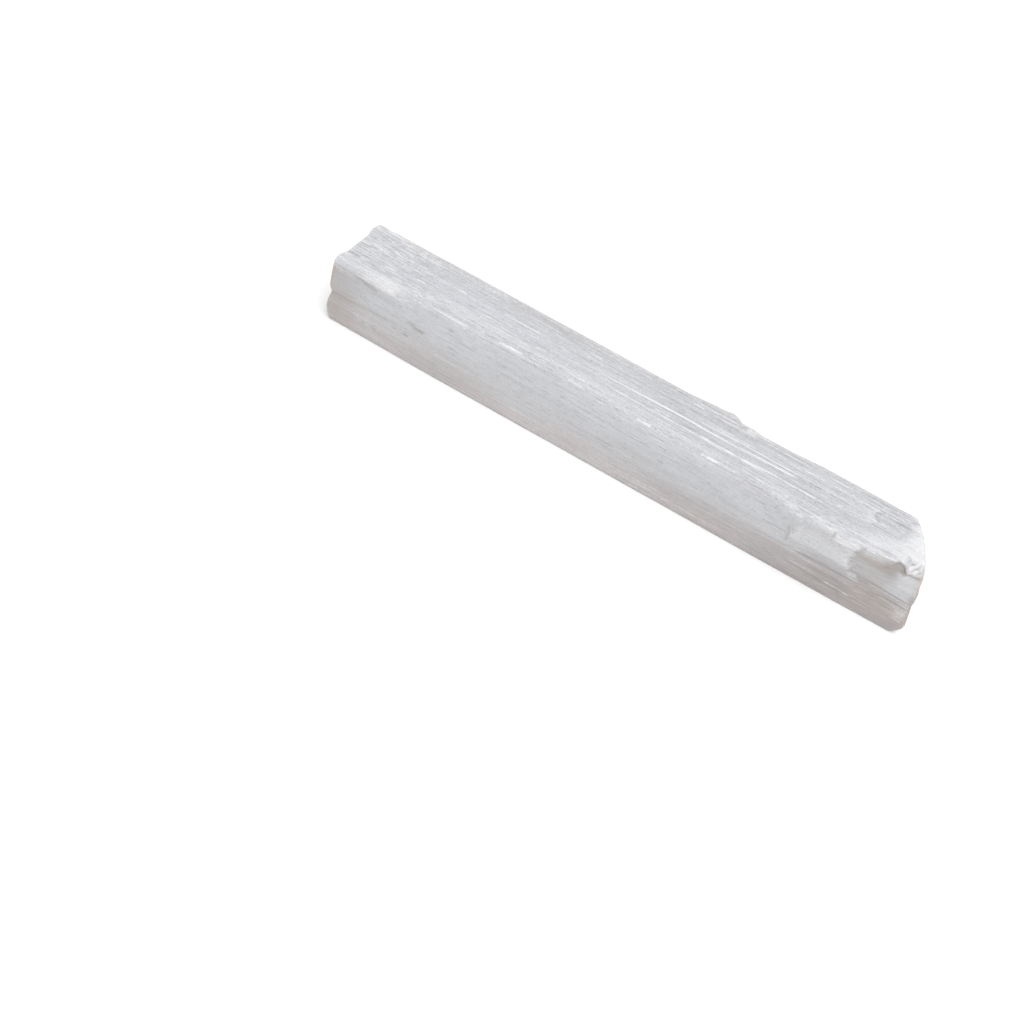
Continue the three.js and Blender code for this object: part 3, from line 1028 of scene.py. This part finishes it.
# The colours of milky stone, painted warm low down and cool high up as light, of clear stone and stains, and
# of painted shade.
MILK_IN_PAINTED_BOUNCE = rgba(0.566, 0.524, 0.512)
MILK_IN_PAINTED_SKYLIGHT = rgba(0.566, 0.574, 0.598)
PALE_CLOUD = rgba(0.60, 0.607, 0.63)
BROWN_CLOUD = rgba(0.46, 0.43, 0.42)
GREY_BAND = rgba(0.49, 0.49, 0.505)
BROWN_CLEAR_AND_SHADE = rgba(0.39, 0.352, 0.340)
GREY_CLEAR_AND_SHADE = rgba(0.464, 0.455, 0.463)
WARM_STAIN_AND_SHADE = rgba(0.50, 0.445, 0.41)
BROWN_SHADOW = rgba(0.27, 0.24, 0.21)
GREY_SHADOW = rgba(0.31, 0.305, 0.31)

# The colours of its fibres, and of what is rubbed and bruised.
SILVER = rgba(0.755, 0.764, 0.787)
VALLEY = rgba(0.38, 0.373, 0.385)
SMUDGE = rgba(0.33, 0.305, 0.295)
CHALK = rgba(0.745, 0.745, 0.755)
BRUISED_WHITE = rgba(0.86, 0.865, 0.875)

# Bruised fibres that run on as hair lines: start, end, how far back, and half width.
HAIRS = (
    (-72, -60.5, 0.75, 0.08),
    (-54, -40, -6.0, 0.05),
    (-40, -25.5, -3.2, 0.08),
    (-37, -25.6, 2.0, 0.09),
    (-33, -22, 5.2, 0.08),
    (-20, 26, 0.50, 0.2),
    (10, 40.5, 2.0, 0.13),
    (23, 40.5, 0.80, 0.17),
    (31, 40.2, 1.25, 0.11),
)

# Cracks that show as dark hair lines on the front: start, end, height, and half width.
CRACKS = (
    (-46, -43.4, 14.9, 0.08),
    (-42.9, -36.9, 14.3, 0.13),
    (-6.8, -4.6, 4.7, 0.10),
    (-4.6, 0.6, 9.3, 0.15),
    (-4.3, -0.2, 8.45, 0.12),
    (-0.6, 8.7, 14.5, 0.11),
    (8.7, 17.8, 14.4, 0.07),
    (13.7, 16.9, 4.7, 0.12),
    (14.0, 16.2, 4.0, 0.09),
    (34, 40, 12.2, 0.06),
    (61.0, 68.0, 12.4, 0.06),
    (64.4, 71.8, 7.75, 0.10),
    (66.0, 74.0, 6.6, 0.07),
)


def hair_lines(along, across, table):
    """1 on a table's hair lines, each of which comes up over half its length and fades out over a sixth."""
    total = 0.0
    for start, end, level, half_width in table:
        sixth = (end - start) / 6
        run = along.climb(start, start + 3 * sixth) * (1 - along.climb(end - sixth, end))
        total = total + (1 - (across - level).size().climb(half_width / 3, half_width * 1.5)) * run
    return total


def readings(tree):
    """What the stone's looks are worked out from: its place in mm, how it is marked, and its noise."""
    place = add_node(tree, "ShaderNodeTexCoord", {}, {}, out=3)
    stone = SimpleNamespace()
    stone.along, stone.depth, stone.height = (
        add_node(tree, "ShaderNodeSeparateXYZ", {}, {0: place}, out=i) * (1 / MM) for i in range(3)
    )
    for layer in LAYERS:
        setattr(stone, layer, add_node(tree, "ShaderNodeAttribute", {"attribute_name": layer}, {}, out=2))
    for name, noise in NOISES.items():
        setattr(stone, name, drawn_out(tree, place, *noise))
    stone.upper = stone.height.climb(16.6, 18.6)
    on_top = stone.upper * stone.depth.climb(-6.6, -5.2)
    stone.plain = on_top.top_with(0.6 * stone.along.climb(-68, -58) * (1 - stone.along.climb(40, 58)))
    stone.wander = 0.5 * (stone.clouds - 0.5)
    return stone


def fibre_ripple(stone):
    """How the fibres show: above 0 where they are silvery, and below 0 in the valleys between them."""
    ripple = (stone.strands - 0.5) * stone.combed * 1.2 + (stone.threads - 0.5) * (0.75 + 0.65 * stone.combed)
    ripple = ripple + (stone.wisps - 0.5) * (0.46 + 0.6 * stone.bruise)
    ripple = ripple + (stone.specks - 0.5) * (0.65 + 0.15 * stone.upper)
    return ripple * (1 - 0.6 * stone.frost)


def bruised_fibres(stone):
    """1 where bruised fibres are brightest: in short dashes, along the streaks, and on the hair lines."""
    dashes = (stone.dashes + 0.18 * stone.bruise).climb(0.73, 0.79) * stone.bruise.climb(0.0, 0.2)
    uneven = 0.55 * (stone.threads - 0.5) + 0.45 * (stone.wisps - 0.5) + 0.3 * (stone.specks - 0.5)
    streak = (stone.gleam + uneven).climb(0.3, 0.9) * stone.gleam.climb(0.02, 0.2)
    hair = hair_lines(stone.along, stone.depth + stone.wander, HAIRS) * stone.upper * (0.7 + stone.threads)
    return dashes.top_with(streak).top_with(hair) * 0.85


def chalky(stone, ripple):
    """1 where the stone is rubbed or crushed white."""
    uneven = stone.frost + 0.7 * ripple + 0.3 * (stone.specks - 0.5)
    return uneven.climb(0.1, 0.9) * stone.frost.climb(0.02, 0.2)


def shadowed(stone):
    """1 where the stone is darkest: in its stains, breaks and cracks, and where shade is painted."""
    stained = (stone.stain_and_shade + 0.8 * stone.specks - 0.4).climb(0.08, 1.0) * stone.stain_and_shade.climb(0.0, 0.15)
    strength = (0 - stone.depth).climb(5, 7) * (0.1 + stone.wisps) * 0.75
    crack = hair_lines(stone.along, stone.height + stone.wander, CRACKS) * strength
    return stained.top_with(crack)


def stone_colour(tree, stone, ripple, white, bright):
    """The stone's colour: milk first, and then each coat over the ones before it."""
    # Painted light: the milk is warm low down as bounced light, and cool high up as skylight.
    colour = blend_colour(tree, stone.height.climb(0, 13), MILK_IN_PAINTED_BOUNCE, MILK_IN_PAINTED_SKYLIGHT)
    # Clear stone and painted shade take these colours, brown low down and grey high up.
    clear_and_shade_tone = blend_colour(tree, stone.upper, BROWN_CLEAR_AND_SHADE, GREY_CLEAR_AND_SHADE)
    shadow = blend_colour(tree, stone.plain, BROWN_SHADOW, GREY_SHADOW)
    # Stains and painted shade get a warm brown edge.
    warmth = stone.stain_and_shade.climb(0.0, 0.25) * (1 - 0.7 * stone.stain_and_shade.climb(0.3, 0.6))
    coats = (
        (stone.clouds.climb(0.45, 0.7) * 0.4, PALE_CLOUD),
        ((1 - stone.clouds).climb(0.5, 0.7) * 0.2, BROWN_CLOUD),
        (stone.clear, clear_and_shade_tone),
        (stone.bands.climb(0.50, 0.68) * 0.07, GREY_BAND),
        (warmth * 0.4 * (1 - 0.8 * stone.plain), WARM_STAIN_AND_SHADE),
        (ripple.climb(0.0, 0.45) * (1 - 0.45 * stone.clear) * (0.6 + 0.3 * stone.upper), SILVER),
        ((0 - ripple).climb(0.0, 0.45) * 0.9, VALLEY),
        (stone.smudges.climb(0.58, 0.72) * (1 - 0.6 * stone.upper) * 0.36, SMUDGE),
        (white, CHALK),
        (bright, BRUISED_WHITE),
        (shadowed(stone), shadow),
    )
    for share, coat in coats:
        colour = blend_colour(tree, share, colour, coat)
    return colour


def selenite():
    """Satin gypsum: milky, a little see-through, silvered by its fibres and chalky where it is bruised."""
    material, tree, shader = new_material("selenite")
    stone = readings(tree)
    ripple = fibre_ripple(stone)
    white = chalky(stone, ripple)
    bright = bruised_fibres(stone)
    relief = 1.2 * ripple + 0.3 * bright + 0.35 * stone.specks * white
    bump = {"Strength": 0.9, "Distance": 0.14 * MM, "Height": relief}
    fill_sockets(tree, shader, {
        "Base Color": stone_colour(tree, stone, ripple, white, bright),
        "Roughness": 0.36 + 0.34 * white + 0.12 * stone.threads,
        "Normal": add_node(tree, "ShaderNodeBump", {}, bump),
        "IOR": 1.52,
        "Subsurface Weight": 0.65,
        "Subsurface Radius": (1.0, 0.85, 0.75),
        "Subsurface Scale": 3.5 * MM,
    })
    return material


# ---- the scene ----

FLOOR_SIZE = 8
FLOOR_WHITE = rgba(0.93, 0.925, 0.92)

# How bright the white surroundings are: what lights the stone, and what is seen past the floor.
ROOM_LIGHT = 0.66
ROOM_SEEN = 1.0

# One broad even light nearly overhead.
SKY_DIRECTION = (0.2, -0.2, 0.96)
SKY_POWER = 1.9
SKY_SPREAD = math.radians(45)
SKY_COLOUR = (0.98, 0.99, 1.0)

# The view: where the camera stands, what it looks at, how far it is turned, and its lens.
EYE = Vector((30.0, -220.6, 239.5)) * MM
AIM = Vector((-9.7, -39.3, 9.65)) * MM
ROLL = math.radians(20)
LENS = 48.8
SENSOR = 36


def floor():
    """A pale floor, wide enough to fill the view."""
    bpy.ops.object.select_all(action="DESELECT")
    bpy.ops.mesh.primitive_plane_add(size=FLOOR_SIZE)
    sheet = bpy.context.object
    sheet.name = "floor"
    material, tree, shader = new_material("pale_floor")
    matt = {"Base Color": FLOOR_WHITE, "Roughness": 0.9, "Specular IOR Level": 0.0}
    fill_sockets(tree, shader, matt)
    sheet.data.materials.append(material)
    return sheet


def skylight():
    """The light comes from far above, so that the floor is as pale far off as it is near."""
    data = bpy.data.lights.new("overhead", "SUN")
    data.angle = SKY_SPREAD
    data.energy = SKY_POWER
    data.color = SKY_COLOUR
    light = bpy.data.objects.new("overhead", data)
    light.rotation_mode = "QUATERNION"
    light.rotation_quaternion = Vector(SKY_DIRECTION).to_track_quat("Z", "Y")
    bpy.context.scene.collection.objects.link(light)


def room():
    """White surroundings, which look brighter than the light that they give the stone."""
    world = bpy.data.worlds.new("studio")
    bpy.context.scene.world = world
    world.use_nodes = True
    tree = world.node_tree
    seen = add_node(tree, "ShaderNodeLightPath", {}, {}, out=0)
    level = ROOM_LIGHT + (ROOM_SEEN - ROOM_LIGHT) * seen
    fill_sockets(tree, tree.nodes["Background"], {"Color": rgba(1, 1, 1), "Strength": level})


def camera():
    """The camera looks down along the bar from in front, and is turned so that the bar slopes."""
    data = bpy.data.cameras.new("camera")
    data.sensor_width = SENSOR
    data.lens = LENS
    eye = bpy.data.objects.new("camera", data)
    eye.location = EYE
    eye.rotation_mode = "QUATERNION"
    level = (AIM - EYE).to_track_quat("-Z", "Y")
    eye.rotation_quaternion = level @ Quaternion((0, 0, 1), ROLL)
    bpy.context.scene.collection.objects.link(eye)
    bpy.context.scene.camera = eye


camera()
bpy.context.scene.view_settings.view_transform = "Standard"
stone_bar = wand()
stone_bar.data.materials.append(selenite())
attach(stone_bar, "root")
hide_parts("wand")
floor()
room()
skylight()
